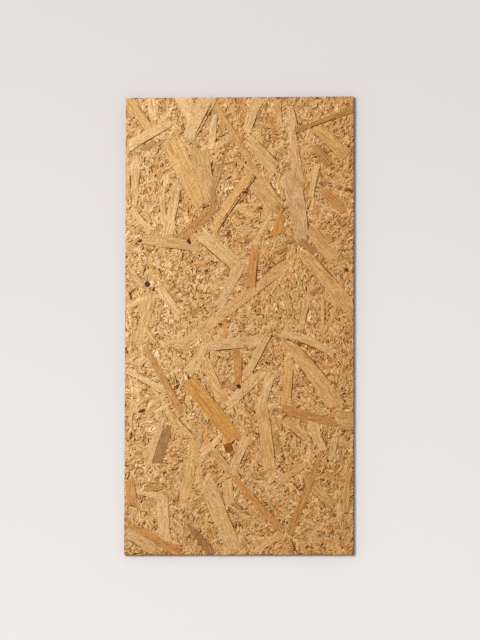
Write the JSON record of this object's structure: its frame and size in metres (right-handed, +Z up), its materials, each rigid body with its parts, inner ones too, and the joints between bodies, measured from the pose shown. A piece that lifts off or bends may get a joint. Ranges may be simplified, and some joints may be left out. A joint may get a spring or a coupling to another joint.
{
  "type": "osb board",
  "caption": "Flat rectangular oriented strand board: wood strands and glue pressed into one rigid panel with square sawn edges.",
  "frame": {"origin": "centre of the underside, on the floor", "axes": "+X across the board along its short side, +Y along its long side, +Z up through its thickness"},
  "size_m": [0.305, 0.61, 0.011],
  "materials": {
    "osb": "matte"
  },
  "bodies": {
    "root": {"board": "osb"}
  },
  "joints": []
}
